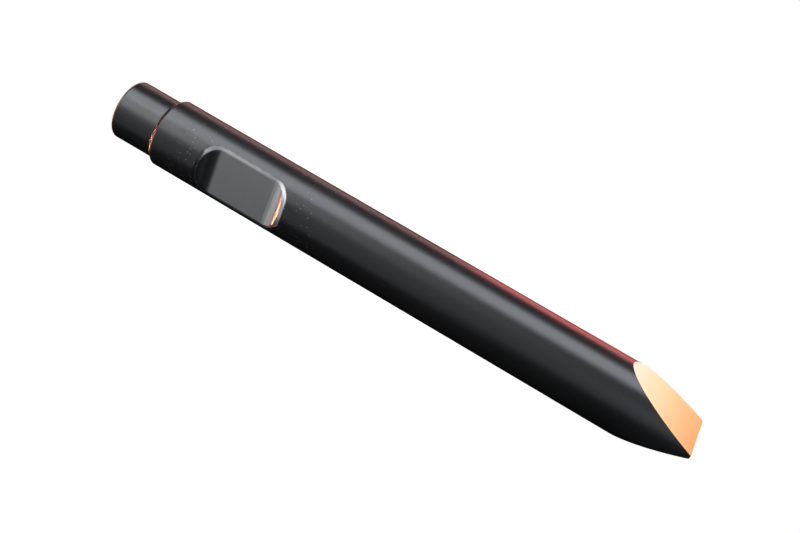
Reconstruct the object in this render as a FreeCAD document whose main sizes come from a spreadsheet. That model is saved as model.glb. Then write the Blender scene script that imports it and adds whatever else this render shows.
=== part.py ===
import FreeCAD, Part
import math
import os

import Sketcher

# Chisel of a hydraulic breaker: one forged, turned and milled steel bar. Millimetres.
# The bar stands on its striking face, which lies at z = 0 with its centre at the origin.
# +Z runs along the bar to the cutting edge. The two retaining flats face +Y and -Y.
# The cutting edge runs along Y, and its two bevels face +X and -X.

# Driving dimensions, in the order of the bar from its striking face to its cutting edge.
SIZES = [
    ("overall_length", 1209.5, "striking face to cutting edge"),
    ("body_diameter", 135.0, "round body that slides in the breaker's bushes"),
    ("shoulder_step", 8.8, "how far the stub's wall lies inside the body's wall"),
    ("stub_length", 88.5, "striking face to shoulder"),
    ("face_edge_radius", 5.0, "rounding round the striking face"),
    ("root_radius", 1.0, "hollow rounding where the stub meets the shoulder"),
    ("shoulder_chamfer", 7.6, "bevel of 45 degrees on the shoulder's outer edge"),
    ("shoulder_corner_radius", 4.0, "rounding where the shoulder's bevel meets the body"),
    ("flat_start", 227.5, "striking face to the lower end of the flat floor"),
    ("flat_length", 113.0, "flat floor between its two ramps"),
    ("flat_depth", 21.5, "depth of the floor below the round body"),
    ("ramp_radius", 37.0, "hollow ramps at the ends of the floor, as the cutter leaves them"),
    ("rim_chamfer", 4.4,"bevel where a flat runs out of the round body, on each side of the edge"),
    ("point_length", 158.0, "length of the two bevels along the bar"),
    ("edge_width", 6.5, "blunt cutting edge, across"),
    ("edge_corner_radius", 3.5, "rounding at the two ends of the cutting edge"),
]

# The shoulder's bevel and root each keep to a share of the step, so a shallow step still has both.
ROOT_SHARE = 0.12
CHAMFER_SHARE = 0.87

TOLERANCE = 1e-4
ORIGIN = -1
START = 1
END = 2


def make_sheet(doc):
    """Spreadsheet with one row for each driving dimension."""
    sheet = doc.addObject("Spreadsheet::Sheet", "Sizes")
    for row, (alias, value, meaning) in enumerate(SIZES, start=1):
        sheet.set(f"A{row}", alias)
        sheet.set(f"B{row}", str(value))
        sheet.set(f"C{row}", meaning)
        sheet.setAlias(f"B{row}", alias)
    doc.recompute()
    return sheet


def origin_plane(body, role):
    """One of the body's own origin planes, found by its role."""
    return next(item for item in body.Origin.OriginFeatures if item.Role == role)


def new_sketch(body, name, role):
    """Empty sketch on an origin plane of its own body."""
    sketch = body.newObject("Sketcher::SketchObject", name)
    sketch.AttachmentSupport = [(origin_plane(body, role), "")]
    sketch.MapMode = "FlatFace"
    return sketch


def add_line(sketch, start, end):
    """Straight edge between two points of the sketch plane."""
    line = Part.LineSegment(FreeCAD.Vector(*start, 0), FreeCAD.Vector(*end, 0))
    return sketch.addGeometry(line, False)


def add_arc(sketch, centre, radius, first_degrees, last_degrees):
    """Arc that runs anticlockwise from the first angle to the last."""
    circle = Part.Circle(FreeCAD.Vector(*centre, 0), FreeCAD.Vector(0, 0, 1), radius)
    arc = Part.ArcOfCircle(circle, math.radians(first_degrees), math.radians(last_degrees))
    return sketch.addGeometry(arc, False)


def add_polygon(sketch, points):
    """Closed outline of straight edges; returns their numbers, each starting at its point."""
    edges = []
    for index, point in enumerate(points):
        edges.append(add_line(sketch, point, points[(index + 1) % len(points)]))
    for index, edge in enumerate(edges):
        following = edges[(index + 1) % len(edges)]
        sketch.addConstraint(Sketcher.Constraint("Coincident", edge, END, following, START))
    return edges


def dimension(sketch, kind, references, value, name, expression):
    """Named dimension of a sketch, bound to the sheet."""
    number = sketch.addConstraint(Sketcher.Constraint(kind, *references, value))
    sketch.renameConstraint(number, name)
    sketch.setExpression(f"Constraints.{name}", expression)


def add_tip(body, feature):
    """Recomputes the document with this feature as the body's last one."""
    body.Tip = feature
    body.Document.recompute()
    return feature


def round_edges(body, name, base, edges, expression):
    """Rounding of the named edges of the body's last feature."""
    fillet = body.newObject("PartDesign::Fillet", name)
    fillet.Base = (base, edges)
    fillet.setExpression("Radius", expression)
    return add_tip(body, fillet)


def bevel_edges(body, name, base, edges, expression):
    """Bevel of 45 degrees on the named edges of the body's last feature."""
    chamfer = body.newObject("PartDesign::Chamfer", name)
    chamfer.Base = (base, edges)
    chamfer.setExpression("Size", expression)
    return add_tip(body, chamfer)


def circle_edges(shape, radius, height):
    """Names of the full circles about the bar's axis at one radius and height."""
    names = []
    for number, edge in enumerate(shape.Edges, start=1):
        curve = edge.Curve
        if not isinstance(curve, Part.Circle) or not edge.Closed:
            continue
        same_radius = abs(curve.Radius - radius) < TOLERANCE
        if same_radius and abs(curve.Center.z - height) < TOLERANCE:
            names.append(f"Edge{number}")
    return names


def flat_rim_edges(shape, radius, low, high):
    """Names of the edges where the flats cut the round body, between two heights."""
    names = []
    for number, edge in enumerate(shape.Edges, start=1):
        first, last = edge.ParameterRange
        points = [edge.valueAt(first + share * (last - first)) for share in (0.2, 0.5, 0.8)]
        on_body = all(abs(math.hypot(point.x, point.y) - radius) < 0.01 for point in points)
        if on_body and all(low < point.z < high for point in points):
            names.append(f"Edge{number}")
    return names


def turn_bar(body, sheet):
    """Bar blank with its stub: a stepped profile turned about the Z axis, then rounded."""
    body_radius = sheet.body_diameter / 2
    stub_radius = body_radius - sheet.shoulder_step
    shoulder = sheet.stub_length
    top = sheet.overall_length

    sketch = new_sketch(body, "BarProfile", "XZ_Plane")
    outline = [(0, 0), (stub_radius, 0), (stub_radius, shoulder),
               (body_radius, shoulder), (body_radius, top), (0, top)]
    face, stub_wall, ledge, body_wall, end, axis = add_polygon(sketch, outline)
    for edge in (face, ledge, end):
        sketch.addConstraint(Sketcher.Constraint("Horizontal", edge))
    for edge in (stub_wall, body_wall, axis):
        sketch.addConstraint(Sketcher.Constraint("Vertical", edge))
    sketch.addConstraint(Sketcher.Constraint("Coincident", face, START, ORIGIN, START))
    dimension(sketch, "DistanceX", (ORIGIN, START, body_wall, START), body_radius,
              "body_radius", "Sizes.body_diameter / 2")
    dimension(sketch, "DistanceX", (stub_wall, END, ledge, END), sheet.shoulder_step,
              "step", "Sizes.shoulder_step")
    dimension(sketch, "DistanceY", (stub_wall, START, stub_wall, END), shoulder,
              "stub_length", "Sizes.stub_length")
    dimension(sketch, "DistanceY", (axis, END, axis, START), top,
              "overall_length", "Sizes.overall_length")

    bar = body.newObject("PartDesign::Revolution", "Bar")
    bar.Profile = sketch
    bar.ReferenceAxis = (sketch, ["V_Axis"])
    bar.Angle = 360
    add_tip(body, bar)

    face_edge = circle_edges(bar.Shape, stub_radius, 0)
    bar = round_edges(body, "FaceEdge", bar, face_edge, "Sizes.face_edge_radius")
    shoulder_edge = circle_edges(bar.Shape, body_radius, shoulder)
    bar = bevel_edges(body, "ShoulderBevel", bar, shoulder_edge,
                      f"min(Sizes.shoulder_chamfer; Sizes.shoulder_step * {CHAMFER_SHARE})")
    bevel_top = shoulder + min(sheet.shoulder_chamfer, sheet.shoulder_step * CHAMFER_SHARE)
    bar = round_edges(body, "ShoulderCorner", bar, circle_edges(bar.Shape, body_radius, bevel_top),
                      "Sizes.shoulder_corner_radius")
    root_edge = circle_edges(bar.Shape, stub_radius, shoulder)
    bar = round_edges(body, "StubRoot", bar, root_edge,
                      f"min(Sizes.root_radius; Sizes.shoulder_step * {ROOT_SHARE})")
    top_edge = circle_edges(bar.Shape, body_radius, top)
    return round_edges(body, "EdgeCorners", bar, top_edge, "Sizes.edge_corner_radius")


def cut_through(body, name, sketch):
    """Pocket that runs right across the bar, as far to each side of its sketch."""
    pocket = body.newObject("PartDesign::Pocket", name)
    pocket.Profile = sketch
    pocket.SideType = "Symmetric"
    pocket.Type = "Length"
    pocket.setExpression("Length", "2 * Sizes.body_diameter")
    return add_tip(body, pocket)


def mirror(body, name, feature, role):
    """The same cut on the other side of one of the body's origin planes."""
    mirrored = body.newObject("PartDesign::Mirrored", name)
    mirrored.Originals = [feature]
    mirrored.MirrorPlane = (origin_plane(body, role), [""])
    return add_tip(body, mirrored)


def cut_point(body, sheet):
    """Wedge point: one flat bevel cut right across the bar, and its mirror image."""
    edge_half = sheet.edge_width / 2
    top = sheet.overall_length
    body_radius = sheet.body_diameter / 2
    # The cut starts where the bevel runs out of the round body, and goes well past it.
    outer = sheet.body_diameter
    heel = top - sheet.point_length

    sketch = new_sketch(body, "BevelProfile", "XZ_Plane")
    outline = [(edge_half, top), (body_radius, heel), (outer, heel), (outer, top)]
    bevel, below, side, above = add_polygon(sketch, outline)
    sketch.addConstraint(Sketcher.Constraint("Horizontal", below))
    sketch.addConstraint(Sketcher.Constraint("Vertical", side))
    sketch.addConstraint(Sketcher.Constraint("Horizontal", above))
    dimension(sketch, "DistanceX", (ORIGIN, START, bevel, START), edge_half,
              "edge_half", "Sizes.edge_width / 2")
    dimension(sketch, "DistanceY", (ORIGIN, START, bevel, START), top,
              "top", "Sizes.overall_length")
    dimension(sketch, "DistanceX", (ORIGIN, START, bevel, END), body_radius,
              "body_radius", "Sizes.body_diameter / 2")
    dimension(sketch, "DistanceY", (side, START, side, END), sheet.point_length,
              "point_length", "Sizes.point_length")
    dimension(sketch, "DistanceX", (ORIGIN, START, side, START), outer,
              "outer", "Sizes.body_diameter")

    bevel_cut = cut_through(body, "Bevel", sketch)
    return mirror(body, "BevelPair", bevel_cut, "YZ_Plane")


def cut_flats(body, sheet):
    """Retaining flats: a level floor between two hollow ramps, on the +Y and -Y sides."""
    body_radius = sheet.body_diameter / 2
    floor = body_radius - sheet.flat_depth
    low = sheet.flat_start
    high = low + sheet.flat_length
    ramp = sheet.ramp_radius
    outer = sheet.body_diameter

    sketch = new_sketch(body, "FlatProfile", "YZ_Plane")
    floor_line = add_line(sketch, (floor, low), (floor, high))
    high_ramp = add_arc(sketch, (floor + ramp, high), ramp, 90, 180)
    high_side = add_line(sketch, (floor + ramp, high + ramp), (outer, high + ramp))
    outer_line = add_line(sketch, (outer, high + ramp), (outer, low - ramp))
    low_side = add_line(sketch, (outer, low - ramp), (floor + ramp, low - ramp))
    low_ramp = add_arc(sketch, (floor + ramp, low), ramp, 180, 270)
    sketch.addConstraint(Sketcher.Constraint("Tangent", floor_line, END, high_ramp, END))
    sketch.addConstraint(Sketcher.Constraint("Tangent", high_ramp, START, high_side, START))
    sketch.addConstraint(Sketcher.Constraint("Coincident", high_side, END, outer_line, START))
    sketch.addConstraint(Sketcher.Constraint("Coincident", outer_line, END, low_side, START))
    sketch.addConstraint(Sketcher.Constraint("Tangent", low_side, END, low_ramp, END))
    sketch.addConstraint(Sketcher.Constraint("Tangent", low_ramp, START, floor_line, START))
    sketch.addConstraint(Sketcher.Constraint("Vertical", floor_line))
    sketch.addConstraint(Sketcher.Constraint("Vertical", outer_line))
    sketch.addConstraint(Sketcher.Constraint("Horizontal", high_side))
    sketch.addConstraint(Sketcher.Constraint("Horizontal", low_side))
    sketch.addConstraint(Sketcher.Constraint("Equal", high_ramp, low_ramp))
    dimension(sketch, "DistanceX", (ORIGIN, START, floor_line, START), floor,
              "floor", "Sizes.body_diameter / 2 - Sizes.flat_depth")
    dimension(sketch, "DistanceY", (ORIGIN, START, floor_line, START), low,
              "flat_start", "Sizes.flat_start")
    dimension(sketch, "DistanceY", (floor_line, START, floor_line, END), sheet.flat_length,
              "flat_length", "Sizes.flat_length")
    dimension(sketch, "Radius", (high_ramp,), ramp, "ramp_radius", "Sizes.ramp_radius")
    dimension(sketch, "DistanceX", (ORIGIN, START, outer_line, START), outer,
              "outer", "Sizes.body_diameter")

    flat_cut = cut_through(body, "Flat", sketch)
    flats = mirror(body, "FlatPair", flat_cut, "XZ_Plane")
    rims = flat_rim_edges(flats.Shape, body_radius, low - ramp, high + ramp)
    return bevel_edges(body, "FlatRims", flats, rims, "Sizes.rim_chamfer")


def make_chisel(doc, sheet):
    """The whole bar, as one body."""
    body = doc.addObject("PartDesign::Body", "Chisel")
    body.Label = "chisel"
    body.Placement = FreeCAD.Placement()
    for build_step in (turn_bar, cut_point, cut_flats):
        before = body.Shape.Volume if body.Tip else 0
        build_step(body, sheet)
        print(build_step.__name__, "volume change", round(body.Shape.Volume - before), "mm3")
    return body


def check_document(doc, bodies):
    """Stops before anything is written if a feature or a solid has failed."""
    for item in doc.Objects:
        if "Invalid" in item.State or "Error" in item.State:
            raise RuntimeError(f"{item.Name} failed: {item.State}")
        if item.isDerivedFrom("Sketcher::SketchObject") and not item.FullyConstrained:
            raise RuntimeError(f"{item.Name} is not fully constrained")
    for body in bodies:
        shape = body.Shape
        if shape.isNull() or not shape.isValid() or len(shape.Solids) != 1:
            raise RuntimeError(f"{body.Label} is not one valid solid")


def write_parts(bodies):
    """One STEP file for each sub-part, named by its label."""
    os.makedirs("parts", exist_ok=True)
    for body in bodies:
        body.Shape.exportStep(os.path.join("parts", body.Label + ".step"))


document = FreeCAD.newDocument("BreakerChisel")
sizes = make_sheet(document)
parts = [make_chisel(document, sizes)]
document.recompute()
check_document(document, parts)
write_parts(parts)
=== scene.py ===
import math

import bmesh
import bpy
import numpy as np
from mathutils import Matrix, Vector


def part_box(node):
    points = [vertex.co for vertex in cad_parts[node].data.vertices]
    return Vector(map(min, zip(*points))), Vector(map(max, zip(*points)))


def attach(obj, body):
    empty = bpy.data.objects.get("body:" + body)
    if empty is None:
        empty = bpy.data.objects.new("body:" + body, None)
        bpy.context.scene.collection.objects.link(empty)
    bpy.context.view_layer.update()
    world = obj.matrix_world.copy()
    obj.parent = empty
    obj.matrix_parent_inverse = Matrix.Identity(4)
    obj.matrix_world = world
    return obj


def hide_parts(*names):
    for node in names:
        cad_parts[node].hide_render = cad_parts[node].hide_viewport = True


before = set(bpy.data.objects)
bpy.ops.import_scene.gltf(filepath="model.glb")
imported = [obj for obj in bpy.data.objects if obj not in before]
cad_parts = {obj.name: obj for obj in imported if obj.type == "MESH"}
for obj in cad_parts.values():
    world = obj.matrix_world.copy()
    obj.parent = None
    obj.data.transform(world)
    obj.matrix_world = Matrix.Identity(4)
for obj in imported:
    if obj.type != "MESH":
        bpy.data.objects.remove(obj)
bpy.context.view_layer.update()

# Sizes in metres. The bar's own radius and length come from the frame.
HIGH_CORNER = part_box("chisel")[1]
LENGTH = HIGH_CORNER.z
RADIUS = HIGH_CORNER.x

SHOULDER_STEP = 0.0088
STUB_LENGTH = 0.0885
FACE_EDGE_RADIUS = 0.005
ROOT_RADIUS = 0.001
SHOULDER_CHAMFER = 0.0076
SHOULDER_CORNER_RADIUS = 0.004

FLAT_START = 0.2275
FLAT_END = 0.3405
FLAT_FLOOR = RADIUS - 0.0215
RAMP_RADIUS = 0.037
RIM_CHAMFER = 0.0044

POINT_LENGTH = 0.158
EDGE_HALF = 0.00325
EDGE_CORNER_RADIUS = 0.0035
BEVEL_ANGLE = math.atan((RADIUS - EDGE_HALF) / POINT_LENGTH)

# Narrow roundings that only the mesh has, and the least turn of a crease that gets one, in degrees.
CREASE_WIDTH = 0.0008
SHOULDER_CREASE = 0.0001
CREASE_TURN = 12.0

# Mesh spacing round the bar, in degrees, beside and across the flats.
FLAT_SPREAD = 53.0
FINE_STEP = 0.92
PLAIN_STEP = 2.75
RAMP_ROWS = 40
BISECTIONS = 40

# Slot of the point's ground steel. The black steel of all the rest has slot 0.
GROUND = 1

# Rubbed rims of the flats: how far behind the flats' surfaces the bare steel ends and the black scale
# is whole, how ragged that line is, and how much wider or narrower the rim gets at its two ends.
# The widening is partly rubbed steel and partly a painted highlight; the narrowing is painted shade.
RIM_WEAR = (0.0016, 0.0042)
RIM_RAGGED = 0.0012
RIM_WIDER = 0.0026
RIM_NARROWER = 0.0028

# Rubbed ring of the shoulder's bevel, above the end of the stub, narrowed on its shaded side as painted
# shade, and of the struck face's edge, kept to the side towards -X, where its orange is a painted glint.
SHOULDER_BARE_FROM = (STUB_LENGTH + 0.0018, STUB_LENGTH + 0.0036)
SHOULDER_BARE_TO = (STUB_LENGTH + 0.0098, STUB_LENGTH + 0.0086)
SHOULDER_NARROWER = 0.0026
STRUCK_BARE_TO = (0.0040, 0.0030)
RING_RAGGED = 0.0006

# Colours of the scale and the steel, as red, green, blue and opacity.
SCALE_COLOURS = ((0.0045, 0.0048, 0.0052, 1), (0.0085, 0.0088, 0.0095, 1))
SCUFF_COLOUR = (0.05, 0.05, 0.052, 1)
DUST_COLOUR = (0.42, 0.41, 0.40, 1)
FLOOR_COLOURS = ((0.47, 0.47, 0.475, 1), (0.57, 0.57, 0.575, 1))
# The far ramp's milled steel, made bright as a painted highlight.
FAR_RAMP_PAINTED_HIGHLIGHTS = ((0.78, 0.775, 0.78, 1), (0.88, 0.875, 0.88, 1))
# Painted shade on the near ramp, and a painted highlight along its top by the rim.
NEAR_RAMP_PAINTED_SHADE = (0.27, 0.27, 0.275, 1)
NEAR_RAMP_PAINTED_HIGHLIGHT = (0.75, 0.75, 0.76, 1)
RIM_COLOUR = (0.45, 0.45, 0.455, 1)
# The near rim is lighter as a painted highlight and darker on its side towards -X as painted shade; the far
# rim is lighter still as a painted highlight.
NEAR_RIM_PAINTED_HIGHLIGHT = (0.60, 0.60, 0.605, 1)
LOW_RIM_PAINTED_SHADE = (0.22, 0.22, 0.225, 1)
FAR_RIM_PAINTED_HIGHLIGHT = (0.88, 0.87, 0.88, 1)
# The rubbed shoulder's colours are a painted orange glint, a painted dark red reflection and painted shade.
SHOULDER_PAINTED_GLINTS = ((0.88, 0.62, 0.50, 1), (0.92, 0.42, 0.28, 1))
SHOULDER_PAINTED_RED_REFLECTION = (0.62, 0.15, 0.18, 1)
SHOULDER_PAINTED_SHADE = (0.22, 0.08, 0.09, 1)
# Painted orange glint on the struck edge.
STRUCK_EDGE_PAINTED_GLINT = (0.95, 0.36, 0.17, 1)
GRINDING_COLOUR = (0.55, 0.42, 0.30, 1)

# Temper tint of the point: share of the way from the heel to the cutting edge, and colour.
TEMPER = (
    (0.0, (0.93, 0.78, 0.62, 1)),
    (0.35, (0.92, 0.69, 0.38, 1)),
    (0.68, (0.92, 0.52, 0.21, 1)),
    (1.0, (0.93, 0.38, 0.10, 1)),
)

# Studio: the two places that lamps are aimed at and the lamps' distances from them, the floor's half
# width, the ring of black cards, and how brightly the surroundings and the floor glow.
POCKET = (0, FLAT_FLOOR, 0.28)
HEEL = (0.04, 0, 1.13)
NEAR = 1.6
FAR = 6.0
FLOOR_HALF = 30.0
CARDS_RADIUS = 9.0
CARDS_SIDES = 48
WORLD_LEVEL = 0.55
FLOOR_GLOW = 0.72


def outside_steel(x, y, z):
    """How far a point lies outside the round body, its flats and their bevelled rims."""
    across = np.hypot(x, y)
    past = max(FLAT_START - z, z - FLAT_END, 0.0)
    drop = FLAT_FLOOR + RAMP_RADIUS - np.abs(y)
    from_ramp_axis = np.hypot(drop, past)
    from_flat = RAMP_RADIUS - from_ramp_axis
    from_body = across - RADIUS
    # The rim's bevel takes the same width from the flat and from the body.
    turn = np.arccos(np.clip(drop / from_ramp_axis * np.abs(y) / across, -1, 1))
    from_rim = (from_flat + from_body + RIM_CHAMFER * np.sin(turn)) / (2 * np.cos(turn / 2))
    return np.maximum(np.maximum(from_flat, from_body), from_rim)


def flat_radius(angles, z):
    """Distance from the axis to the surface at each angle, at one height across the flats."""
    low = np.full(len(angles), 0.5 * FLAT_FLOOR)
    high = np.full(len(angles), RADIUS)
    for _ in range(BISECTIONS):
        middle = (low + high) / 2
        outside = outside_steel(middle * np.cos(angles), middle * np.sin(angles), z) > 1e-9
        high = np.where(outside, middle, high)
        low = np.where(outside, low, middle)
    return (low + high) / 2


def column_angles():
    """Angles of the mesh columns: fine across each flat, plain between them."""
    fine = np.linspace(-FLAT_SPREAD, FLAT_SPREAD, 1 + 2 * round(FLAT_SPREAD / FINE_STEP))
    plain_half = 90.0 - FLAT_SPREAD
    plain = np.linspace(-plain_half, plain_half, 1 + 2 * round(plain_half / PLAIN_STEP))[1:-1]
    degrees = np.concatenate([plain, 90 + fine, 180 + plain, 270 + fine])
    return np.radians(degrees)


def arc(centre, radius, first, last, steps):
    """Points of a profile's arc, as (distance from the axis, height)."""
    angles = np.radians(np.linspace(first, last, steps))
    return [(centre[0] + radius * math.cos(a), centre[1] + radius * math.sin(a)) for a in angles]


def turned_profile():
    """Profile of the stub and the shoulder, from the striking face to the round body."""
    stub = RADIUS - SHOULDER_STEP
    ledge = STUB_LENGTH
    rows = arc((stub - FACE_EDGE_RADIUS, FACE_EDGE_RADIUS), FACE_EDGE_RADIUS, -90, 0, 10)
    rows += arc((stub + ROOT_RADIUS, ledge - ROOT_RADIUS), ROOT_RADIUS, 180, 90, 5)
    # The shoulder's bevel starts with a crease of its own and ends in a rounding.
    start = RADIUS - SHOULDER_CHAMFER
    rows += [(start - SHOULDER_CREASE, ledge), (start + SHOULDER_CREASE, ledge + SHOULDER_CREASE)]
    corner = SHOULDER_CORNER_RADIUS
    rise = ledge + SHOULDER_CHAMFER + corner * math.tan(math.radians(22.5))
    rows += arc((RADIUS - corner, rise), corner, -45, 0, 8)
    return rows


def bar_rows():
    """(profile radius, height, is across the flats) for each ring of the mesh."""
    ramp = math.sqrt(RAMP_RADIUS ** 2 - (RAMP_RADIUS + FLAT_FLOOR - RADIUS) ** 2)
    # The rings that follow the flats go on just past the rim's bevel.
    ramp += 1.15 * RIM_CHAMFER
    rows = [(radius, z, False) for radius, z in turned_profile()]
    heights = np.concatenate([
        np.linspace(FLAT_START - ramp, FLAT_START, RAMP_ROWS),
        np.linspace(FLAT_START, FLAT_END, 9)[1:-1],
        np.linspace(FLAT_END, FLAT_END + ramp, RAMP_ROWS),
    ])
    rows += [(RADIUS, z, True) for z in heights]
    rows.append((RADIUS, LENGTH - 1.1 * POINT_LENGTH, False))
    corner = (RADIUS - EDGE_CORNER_RADIUS, LENGTH - EDGE_CORNER_RADIUS)
    rows += [(radius, z, False) for radius, z in arc(corner, EDGE_CORNER_RADIUS, 0, 90, 7)]
    return rows


def turned_bar_mesh():
    """The bar before its point is cut: rings of quads with a flat face at each end."""
    angles = column_angles()
    bm = bmesh.new()
    rings = []
    for radius, z, across_flats in bar_rows():
        radii = flat_radius(angles, z) if across_flats else np.full(len(angles), radius)
        rings.append([bm.verts.new((r * math.cos(a), r * math.sin(a), z)) for r, a in zip(radii, angles)])
    for lower, upper in zip(rings, rings[1:]):
        for i in range(len(angles)):
            j = (i + 1) % len(angles)
            bm.faces.new((lower[i], lower[j], upper[j], upper[i]))
    bm.faces.new(reversed(rings[0]))
    cutting_edge = bm.faces.new(rings[-1])
    cutting_edge.material_index = GROUND
    return bm


def cut_bevel(bm, side):
    """Cuts one flat bevel right across the bar and closes the cut."""
    normal = Vector((side * math.cos(BEVEL_ANGLE), 0, math.sin(BEVEL_ANGLE)))
    bmesh.ops.bisect_plane(bm, geom=bm.verts[:] + bm.edges[:] + bm.faces[:],
                           plane_co=(side * EDGE_HALF, 0, LENGTH), plane_no=normal, clear_outer=True)
    rim = [edge for edge in bm.edges if edge.is_boundary]
    made = bmesh.ops.contextual_create(bm, geom=rim)
    for face in made["faces"]:
        face.material_index = GROUND


def soften_creases(bm):
    """Narrow rounding where the bevels meet the round body and the cutting edge."""
    bm.normal_update()
    creases = []
    for edge in bm.edges:
        low = min(vertex.co.z for vertex in edge.verts)
        if low > LENGTH - 1.2 * POINT_LENGTH and len(edge.link_faces) == 2:
            if edge.calc_face_angle() > math.radians(CREASE_TURN):
                creases.append(edge)
    bmesh.ops.bevel(bm, geom=creases, offset=CREASE_WIDTH, offset_type="OFFSET", segments=3,
                    profile=0.5, affect="EDGES", clamp_overlap=True, material=GROUND)


def make_chisel():
    """The whole bar as one closed mesh with smooth shading and area-weighted normals."""
    bm = turned_bar_mesh()
    for side in (1, -1):
        cut_bevel(bm, side)
    soften_creases(bm)
    bmesh.ops.recalc_face_normals(bm, faces=bm.faces)
    mesh = bpy.data.meshes.new("chisel_bar")
    bm.to_mesh(mesh)
    bm.free()
    mesh.shade_smooth()
    piece = bpy.data.objects.new("chisel_bar", mesh)
    bpy.context.scene.collection.objects.link(piece)
    weighted = piece.modifiers.new("weighted normals", "WEIGHTED_NORMAL")
    weighted.weight = 100
    weighted.keep_sharp = True
    return piece


def put(tree, kind, inputs=None, **settings):
    """Adds a node; an input may be a number, a colour or another node's socket."""
    item = tree.nodes.new(kind)
    for name, value in settings.items():
        setattr(item, name, value)
    for name, value in (inputs or {}).items():
        if isinstance(value, bpy.types.NodeSocket):
            tree.links.new(value, item.inputs[name])
        else:
            item.inputs[name].default_value = value
    return item


def calc(tree, operation, first, second=0.0, clamp=False):
    """One step of arithmetic on one or two values."""
    item = put(tree, "ShaderNodeMath", {0: first, 1: second}, operation=operation, use_clamp=clamp)
    return item.outputs[0]


def chain(tree, operation, values):
    """The same arithmetic from the first value on through all the others."""
    result = values[0]
    for value in values[1:]:
        result = calc(tree, operation, result, value)
    return result


def plus(tree, *values):
    return chain(tree, "ADD", values)


def minus(tree, *values):
    return chain(tree, "SUBTRACT", values)


def times(tree, *values):
    return chain(tree, "MULTIPLY", values)


def most(tree, *values):
    return chain(tree, "MAXIMUM", values)


def smooth(tree, value, low, high):
    """0 at low and 1 at high, with an eased run between them; low may be the larger number."""
    item = put(tree, "ShaderNodeMapRange", {"Value": value, "From Min": low, "From Max": high},
               interpolation_type="SMOOTHSTEP")
    return item.outputs["Result"]


def spread(tree, value, low, high):
    """Takes a value from 0 to 1 to the range low to high."""
    item = put(tree, "ShaderNodeMapRange", {"Value": value, "To Min": low, "To Max": high})
    return item.outputs["Result"]


def hump(tree, value, centre, reach, full):
    """1 within a distance full of the centre, and 0 beyond the distance reach."""
    away = calc(tree, "ABSOLUTE", calc(tree, "SUBTRACT", value, centre))
    return smooth(tree, away, reach, full)


def blend(tree, factor, first, second):
    """Mixes two colours."""
    item = put(tree, "ShaderNodeMix", {0: factor, 6: first, 7: second}, data_type="RGBA")
    return item.outputs[2]


def blend_number(tree, factor, first, second):
    """Mixes two numbers."""
    return put(tree, "ShaderNodeMix", {0: factor, 2: first, 3: second}).outputs[0]


def noise(tree, vector, stretch, detail=4.0, roughness=0.55):
    """Noise whose grain is set for each axis by stretch, in waves per metre."""
    scaled = put(tree, "ShaderNodeVectorMath", {0: vector, 1: stretch}, operation="MULTIPLY").outputs[0]
    return put(tree, "ShaderNodeTexNoise",
               {"Vector": scaled, "Scale": 1.0, "Detail": detail, "Roughness": roughness}).outputs["Fac"]


def specks(tree, vector, grain, size, share):
    """Separate dots: cells per metre, size as part of a cell, and share of the cells that have one."""
    cells = put(tree, "ShaderNodeTexVoronoi", {"Vector": vector, "Scale": grain})
    chance = put(tree, "ShaderNodeSeparateColor", {"Color": cells.outputs["Color"]}).outputs[0]
    chosen = calc(tree, "LESS_THAN", chance, share)
    dot = smooth(tree, cells.outputs["Distance"], size, 0.5 * size)
    return times(tree, dot, chosen)


def new_material(name):
    """Material with its node tree and Principled shader."""
    material = bpy.data.materials.new(name)
    material.use_nodes = True
    tree = material.node_tree
    return material, tree, tree.nodes["Principled BSDF"]


def own_place(tree):
    """The object's own coordinates, together and then by axis."""
    place = put(tree, "ShaderNodeTexCoord").outputs["Object"]
    return place, put(tree, "ShaderNodeSeparateXYZ", {0: place}).outputs


def wire(tree, shader, **sockets):
    """Links values to the shader's sockets of the same names."""
    for name, value in sockets.items():
        tree.links.new(value, shader.inputs[name.replace("_", " ").title()])


def behind_flats(tree, y, z):
    """How far the steel lies behind the milled floor and ramps: 0 on them, and more over the rim."""
    drop = calc(tree, "SUBTRACT", FLAT_FLOOR + RAMP_RADIUS, calc(tree, "ABSOLUTE", y))
    past = most(tree, calc(tree, "SUBTRACT", FLAT_START, z), calc(tree, "SUBTRACT", z, FLAT_END), 0.0)
    squares = plus(tree, times(tree, drop, drop), times(tree, past, past))
    return calc(tree, "SUBTRACT", calc(tree, "SQRT", squares), RAMP_RADIUS)


def flat_ends(tree, z):
    """1 past the end of the flats nearer the striking face, and 1 past the end nearer the point."""
    near = smooth(tree, z, FLAT_START, FLAT_START - 0.015)
    far = smooth(tree, z, FLAT_END, FLAT_END + 0.02)
    return near, far


def bare_flats(tree, x, z, grain, behind):
    """The milled flats with their rubbed rims, which are widest at the end nearer the point, partly as a
    painted highlight, and narrowed as painted shade on the side towards -X, most of all at the end nearer
    the striking face.
    """
    near, far = flat_ends(tree, z)
    middle = times(tree, smooth(tree, x, 0.047, 0.03), smooth(tree, x, -0.032, -0.016))
    # The rim is widened in the middle of the far end, partly rubbed steel and partly a painted highlight.
    wear_and_highlight_widening = times(tree, far, middle, RIM_WIDER)
    # Painted shade: the rim is narrowed on its side towards -X.
    painted_shade_side = times(tree, near, smooth(tree, x, 0.036, 0.022))
    painted_shade_side = most(tree, painted_shade_side, smooth(tree, x, -0.022, -0.034))
    past_rim = smooth(tree, behind, 0.0002, 0.0012)
    narrower = times(tree, painted_shade_side, past_rim, RIM_NARROWER)
    worn = plus(tree, behind, spread(tree, grain, -RIM_RAGGED, RIM_RAGGED))
    worn = plus(tree, worn, minus(tree, narrower, wear_and_highlight_widening))
    return smooth(tree, worn, RIM_WEAR[1], RIM_WEAR[0])


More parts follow.
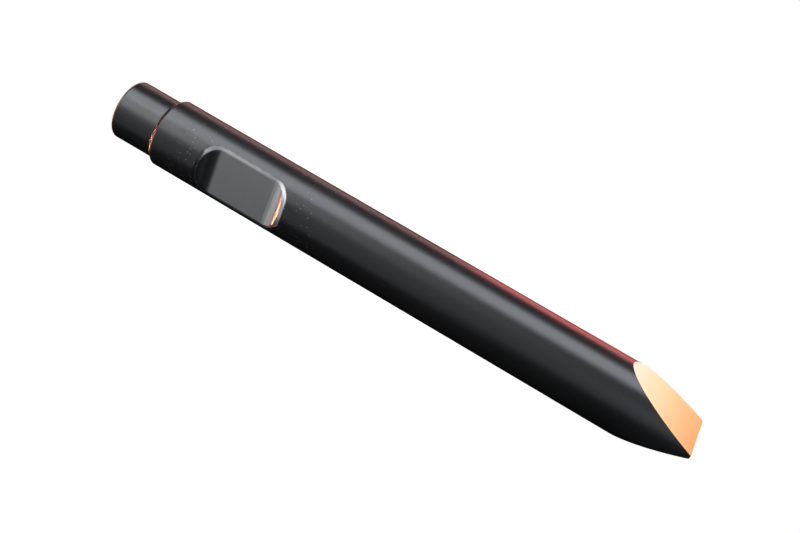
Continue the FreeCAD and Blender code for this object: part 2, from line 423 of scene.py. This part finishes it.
def bare_shoulder(tree, rubbed, shaded):
    """The ring of the shoulder's bevel that is rubbed bare, narrower on its shaded side as painted shade.
    """
    outer = plus(tree, rubbed, times(tree, shaded, SHOULDER_NARROWER))
    return times(tree, smooth(tree, rubbed, *SHOULDER_BARE_FROM), smooth(tree, outer, *SHOULDER_BARE_TO))


def dust(tree, place, z, grain):
    """Fine pale specks of dust and chipped scale, mostly round the ends of the flats."""
    near_start = hump(tree, z, FLAT_START - 0.05, 0.055, 0.01)
    near_end = hump(tree, z, FLAT_END + 0.07, 0.06, 0.01)
    crowd = spread(tree, plus(tree, near_start, near_end), 0.06, 1.0)
    dots = times(tree, specks(tree, place, 185, 0.18, 0.7), smooth(tree, grain, 0.44, 0.54))
    return times(tree, dots, crowd)


def flat_colour(tree, x, z, milling, behind):
    """Milled steel, with a painted highlight on the far ramp and rims, painted shade on the near ramp and
    on the near rim's side towards -X, and a painted highlight along the near ramp's top by the rim.
    """
    near, far = flat_ends(tree, z)
    steel = blend(tree, milling, *FLOOR_COLOURS)
    # Painted shade on the near ramp, turning to a painted highlight along its top by the rim.
    near_ramp_shade = smooth(tree, z, FLAT_START, FLAT_START - 0.008)
    near_ramp_highlight = smooth(tree, z, FLAT_START - 0.018, FLAT_START - 0.026)
    steel = blend(tree, near_ramp_shade, steel, blend(tree, near_ramp_highlight, NEAR_RAMP_PAINTED_SHADE, NEAR_RAMP_PAINTED_HIGHLIGHT))
    # Painted highlight on the far ramp.
    far_ramp_highlight = smooth(tree, z, FLAT_END - 0.0005, FLAT_END + 0.001)
    steel = blend(tree, far_ramp_highlight, steel, blend(tree, milling, *FAR_RAMP_PAINTED_HIGHLIGHTS))
    # Rim steel with painted highlights on the near and far rims, and painted shade on the near rim's side
    # towards -X.
    rim = blend(tree, near, RIM_COLOUR, NEAR_RIM_PAINTED_HIGHLIGHT)
    rim = blend(tree, times(tree, near, smooth(tree, x, 0.03, 0.012)), rim, LOW_RIM_PAINTED_SHADE)
    rim = blend(tree, far, rim, FAR_RIM_PAINTED_HIGHLIGHT)
    return blend(tree, smooth(tree, behind, 0.00005, 0.00030), steel, rim)


def shoulder_painted_glint(tree, x, z, shaded):
    """Painted orange glint on the rubbed shoulder, deeper towards its outer edge, turning to a painted dark
    red reflection and then painted shade on its shaded side towards +X.
    """
    deeper_glint = smooth(tree, z, STUB_LENGTH + 0.0055, STUB_LENGTH + 0.0075)
    tint = blend(tree, deeper_glint, *SHOULDER_PAINTED_GLINTS)
    tint = blend(tree, smooth(tree, x, 0.013, 0.022), tint, SHOULDER_PAINTED_RED_REFLECTION)
    return blend(tree, shaded, tint, SHOULDER_PAINTED_SHADE)


def black_steel():
    """Black heat scale on the turned bar, and satin steel where it is milled or rubbed bare."""
    material, tree, shader = new_material("black_steel")
    place, (x, y, z) = own_place(tree)
    tone = noise(tree, place, (9, 9, 5), detail=5.0)
    grain = noise(tree, place, (170, 170, 120), detail=6.0, roughness=0.65)
    turning = noise(tree, place, (5, 5, 1400), detail=3.0)
    milling = noise(tree, place, (9, 9, 700), detail=4.0)
    streaks = noise(tree, place, (420, 420, 9), detail=3.0)
    scuffs = times(tree, smooth(tree, streaks, 0.66, 0.74), smooth(tree, tone, 0.42, 0.62))

    behind = behind_flats(tree, y, z)
    rubbed = plus(tree, z, spread(tree, grain, -RING_RAGGED, RING_RAGGED))
    # Side towards +X, where the shoulder gets painted shade.
    shaded = smooth(tree, x, 0.018, 0.030)
    shoulder = bare_shoulder(tree, rubbed, shaded)
    # The struck edge is bare only on the side towards -X, where its colour is a painted orange glint.
    struck_wear_and_glint = times(tree, smooth(tree, rubbed, *STRUCK_BARE_TO), smooth(tree, x, 0.05, 0.02))
    bare = most(tree, bare_flats(tree, x, z, grain, behind), shoulder, struck_wear_and_glint)

    black = blend(tree, tone, *SCALE_COLOURS)
    black = blend(tree, times(tree, scuffs, 0.5), black, SCUFF_COLOUR)
    black = blend(tree, times(tree, dust(tree, place, z, grain), 0.9), black, DUST_COLOUR)
    steel = flat_colour(tree, x, z, milling, behind)
    steel = blend(tree, shoulder, steel, shoulder_painted_glint(tree, x, z, shaded))
    steel = blend(tree, struck_wear_and_glint, steel, STRUCK_EDGE_PAINTED_GLINT)
    colour = blend(tree, bare, black, steel)

    dull = plus(tree, spread(tree, tone, 0.28, 0.36), spread(tree, grain, -0.03, 0.03))
    dull = minus(tree, dull, times(tree, scuffs, 0.05))
    satin = blend_number(tree, shoulder, spread(tree, milling, 0.26, 0.34), 0.24)
    roughness = blend_number(tree, bare, dull, satin)

    marks = plus(tree, times(tree, turning, 0.6), times(tree, grain, 0.5))
    height = blend_number(tree, bare, marks, milling)
    bump = put(tree, "ShaderNodeBump", {"Height": height, "Strength": 0.12, "Distance": 0.0004})

    wire(tree, shader, base_color=colour, metallic=bare, roughness=roughness, normal=bump.outputs["Normal"])
    shader.inputs["Specular IOR Level"].default_value = 1.0
    return material


def temper_tint(tree, along):
    """Colour ramp of the temper tint."""
    ramp = put(tree, "ShaderNodeValToRGB", {"Fac": along})
    stops = ramp.color_ramp.elements
    for position, colour in TEMPER[1:-1]:
        stops.new(position).color = colour
    # A new ramp already has a stop at each end.
    stops[0].color = TEMPER[0][1]
    stops[-1].color = TEMPER[-1][1]
    return ramp.outputs["Color"]


def ground_point():
    """Ground steel with a temper tint that deepens from the heel to the cutting edge."""
    material, tree, shader = new_material("ground_point")
    place, axes = own_place(tree)
    cloud = noise(tree, place, (22, 22, 14), detail=4.0)
    lines = noise(tree, place, (30, 14, 900), detail=3.0)
    heel_to_edge = {"Value": axes[2], "From Min": LENGTH - POINT_LENGTH, "From Max": LENGTH}
    along = put(tree, "ShaderNodeMapRange", heel_to_edge).outputs["Result"]
    along = plus(tree, along, spread(tree, cloud, -0.07, 0.07))
    along = plus(tree, along, spread(tree, lines, -0.02, 0.02))
    colour = blend(tree, spread(tree, lines, 0.0, 0.12), temper_tint(tree, along), GRINDING_COLOUR)
    roughness = plus(tree, spread(tree, cloud, 0.38, 0.46), spread(tree, lines, -0.05, 0.05))
    bump = put(tree, "ShaderNodeBump", {"Height": lines, "Strength": 0.15, "Distance": 0.0004})
    wire(tree, shader, base_color=colour, roughness=roughness, normal=bump.outputs["Normal"])
    shader.inputs["Metallic"].default_value = 0.3
    return material


def add_area(name, place, target, size_x, size_y, colour, strength):
    """Rectangular lamp that faces a target; strength is its radiance."""
    lamp = bpy.data.lights.new(name, "AREA")
    lamp.shape = "RECTANGLE"
    lamp.size = size_x
    lamp.size_y = size_y
    lamp.color = colour
    lamp.energy = strength * math.pi * size_x * size_y
    item = bpy.data.objects.new(name, lamp)
    item.location = place
    direction = Vector(target) - Vector(place)
    item.rotation_euler = direction.to_track_quat("-Z", "Y").to_euler()
    item.visible_camera = False
    bpy.context.scene.collection.objects.link(item)
    return item


def ring_place(azimuth, distance, height):
    """Point on a ring round the bar: azimuth in degrees from +X towards +Y."""
    angle = math.radians(azimuth)
    return (distance * math.cos(angle), distance * math.sin(angle), height)


def strip(name, low, high, width, colour, strength):
    """Upright soft box beside the bar; low and high are (azimuth, height) of its two ends."""
    bottom = Vector(ring_place(low[0], NEAR, low[1]))
    top = Vector(ring_place(high[0], NEAR, high[1]))
    middle = (bottom + top) / 2
    along = (top - bottom).normalized()
    inward = Vector((-middle.x, -middle.y, 0))
    back = -(inward - inward.dot(along) * along).normalized()
    lamp = add_area(name, middle, (0, 0, middle.z), width, (top - bottom).length, colour, strength)
    lamp.rotation_euler = Matrix((along.cross(back), along, back)).transposed().to_euler()
    return lamp


def aimed(name, start, azimuth, elevation, size, colour, strength, distance=FAR):
    """Soft box in a given direction from a point of the bar, and facing that point."""
    side = distance * math.cos(math.radians(elevation))
    height = distance * math.sin(math.radians(elevation))
    place = Vector(start) + Vector(ring_place(azimuth, side, height))
    return add_area(name, place, start, size[0], size[1], colour, strength)


def glow(name, azimuth, elevation, size, colour, strength):
    """Coloured soft box that shines past the bar's own steel, onto the recess and the shoulder."""
    lamp = aimed(name, POCKET, azimuth, elevation, size, colour, strength)
    lamp.data.cycles.use_multiple_importance_sampling = False
    return lamp


def add_lamps():
    """All the lamps of the studio."""
    neutral = (0.93, 0.97, 1.06)
    cool = (1.0, 1.0, 1.04)
    # The long highlight, the grey below it and the red edge on the far side.
    along_bar = [
        strip("key", (11.5, -1.25), (1, 2.0), 1.1, neutral, 2.85),
        strip("fill", (79, -1.7), (67, 2.0), 1.95, neutral, 0.29),
        strip("low_fill_1", (45, -1.9), (45, -0.45), 1.3, cool, 1.4),
        strip("low_fill_2", (43, -1.9), (43, 0.15), 1.2, cool, 0.48),
        strip("low_fill_3", (41, -1.9), (41, 0.7), 1.1, cool, 0.25),
        strip("rim", (-67, -1.7), (-67, 2.0), 0.7, (1.0, 0.88, 0.88), 0.75),
        strip("rim_edge", (-103, -1.7), (-103, 2.0), 0.45, (1.0, 0.12, 0.12), 0.9),
        strip("red_low", (-70, -1.7), (-70, 1.35), 0.85, (1.0, 0.12, 0.10), 0.4),
        strip("red_high", (-72, 0.5), (-72, 1.5), 1.05, (1.0, 0.09, 0.07), 1.7),
    ]
    # What the floor, the ramps and the rims of the flat reflect.
    on_flat = [
        aimed("flat_fill", POCKET, 114, -16, (1.8, 2.5), (0.98, 1.0, 1.05), 0.33),
        aimed("under_fill_1", POCKET, 129, -45, (1.3, 3.1), (1.0, 1.0, 1.02), 0.56),
        aimed("under_fill_2", POCKET, 148, -67, (0.68, 0.9), (1.0, 0.99, 1.0), 0.38, distance=NEAR),
        aimed("corner_fill", POCKET, 81, -55, (0.6, 0.55), (1.0, 1.0, 1.02), 1.4, distance=NEAR),
        aimed("crescent_fill", POCKET, 73, 27, (3.1, 2.6), neutral, 0.65),
    ]
    # Orange and red gleams on the far ramp, the shoulder and the struck edge.
    glows = [
        glow("glint", 226, -55, (1.8, 2.1), (1.0, 0.34, 0.13), 3.7),
        glow("glint_deep", 207, -60, (0.9, 1.4), (1.0, 0.15, 0.08), 0.8),
        glow("glint_red", 236, -38, (2.6, 2.0), (1.0, 0.20, 0.20), 0.5),
        glow("glint_low", 246, -66, (1.5, 1.4), (1.0, 0.08, 0.10), 0.15),
    ]
    on_point = aimed("point_fill", HEEL, -72, 21, (0.9, 0.7), (1.0, 0.95, 0.86), 1.0, distance=NEAR)
    return along_bar + on_flat + glows + [on_point]


def add_camera():
    """Camera on the side of the front flat, turned so that the bar's head is at the upper left."""
    place = Vector((0.93215, 1.74865, 1.00514))
    forward = Vector((-0.446307, -0.881945, -0.151601)).normalized()
    down = Vector((-0.806171, 0.322715, 0.495926)).normalized()
    right = down.cross(forward).normalized()
    up = right.cross(forward)
    data = bpy.data.cameras.new("camera")
    data.lens = 50
    data.sensor_width = 36
    data.shift_x = -0.0723
    data.shift_y = 0.0083
    camera = bpy.data.objects.new("camera", data)
    rotation = Matrix((right, up, -forward)).transposed().to_4x4()
    camera.matrix_world = Matrix.Translation(place) @ rotation
    bpy.context.scene.collection.objects.link(camera)
    bpy.context.scene.camera = camera


def shown_directly(tree):
    """1 for rays from the camera, off gloss or through glass, and 0 for the light that falls on things."""
    path = put(tree, "ShaderNodeLightPath").outputs
    seen = calc(tree, "ADD", path["Is Camera Ray"], path["Is Glossy Ray"], clamp=True)
    return calc(tree, "ADD", seen, path["Is Transmission Ray"], clamp=True)


def stage_mesh(name, verts, faces, material):
    """Piece of the studio, which is no part of the object."""
    mesh = bpy.data.meshes.new(name)
    mesh.from_pydata(verts, [], faces)
    item = bpy.data.objects.new(name, mesh)
    mesh.materials.append(material)
    bpy.context.scene.collection.objects.link(item)
    return item


def new_group(name, item):
    """Collection that holds one object, for the lamps' links."""
    group = bpy.data.collections.new(name)
    group.objects.link(item)
    return group


def add_floor():
    """Pale floor: its shading shows only as the bar's soft shadow, and elsewhere it is white."""
    material, tree, shader = new_material("pale_floor")
    shader.inputs["Base Color"].default_value = (0.8, 0.8, 0.8, 1)
    shader.inputs["Roughness"].default_value = 1.0
    shader.inputs["Specular IOR Level"].default_value = 0.0
    shader.inputs["Emission Color"].default_value = (1, 1, 1, 1)
    strength = times(tree, shown_directly(tree), FLOOR_GLOW)
    tree.links.new(strength, shader.inputs["Emission Strength"])
    half = FLOOR_HALF
    corners = [(-half, -half, 0), (half, -half, 0), (half, half, 0), (-half, half, 0)]
    floor = stage_mesh("floor", corners, [(0, 1, 2, 3)], material)
    floor.visible_glossy = False


def add_cards():
    """Black cards round the bar that only its gloss sees, so that its dark side stays dark."""
    material, tree, shader = new_material("black_card")
    shader.inputs["Base Color"].default_value = (0, 0, 0, 1)
    shader.inputs["Specular IOR Level"].default_value = 0.0
    count = CARDS_SIDES
    reach = CARDS_RADIUS
    rings = ((0.0, -reach), (reach, -reach), (reach, reach), (0.0, reach))
    verts = []
    for radius, height in rings:
        verts += [ring_place(360 * i / count, radius, height) for i in range(count)]
    faces = []
    for level in range(len(rings) - 1):
        low = level * count
        high = low + count
        for i in range(count):
            j = (i + 1) % count
            faces.append((low + i, low + j, high + j, high + i))
    cards = stage_mesh("black_cards", verts, faces, material)
    cards.visible_camera = False
    cards.visible_diffuse = False
    cards.visible_shadow = False
    cards.visible_transmission = False
    return cards


def set_world():
    """White surroundings that light the floor softly."""
    world = bpy.data.worlds.new("studio")
    bpy.context.scene.world = world
    world.use_nodes = True
    world.cycles.sampling_method = "NONE"
    tree = world.node_tree
    back = tree.nodes["Background"]
    level = spread(tree, shown_directly(tree), WORLD_LEVEL, 1.0)
    tree.links.new(level, back.inputs["Strength"])
    back.inputs["Color"].default_value = (1, 1, 1, 1)


chisel = make_chisel()
chisel.data.materials.append(black_steel())
chisel.data.materials.append(ground_point())
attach(chisel, "root")
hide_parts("chisel")

set_world()
add_floor()
lit = new_group("lit", chisel)
shadow_casters = new_group("shadow casters", add_cards())
for lamp in add_lamps():
    # Each lamp lights only the bar, and nothing but the cards casts its shadow.
    lamp.light_linking.receiver_collection = lit
    lamp.light_linking.blocker_collection = shadow_casters
add_camera()
bpy.context.scene.view_settings.view_transform = "Standard"
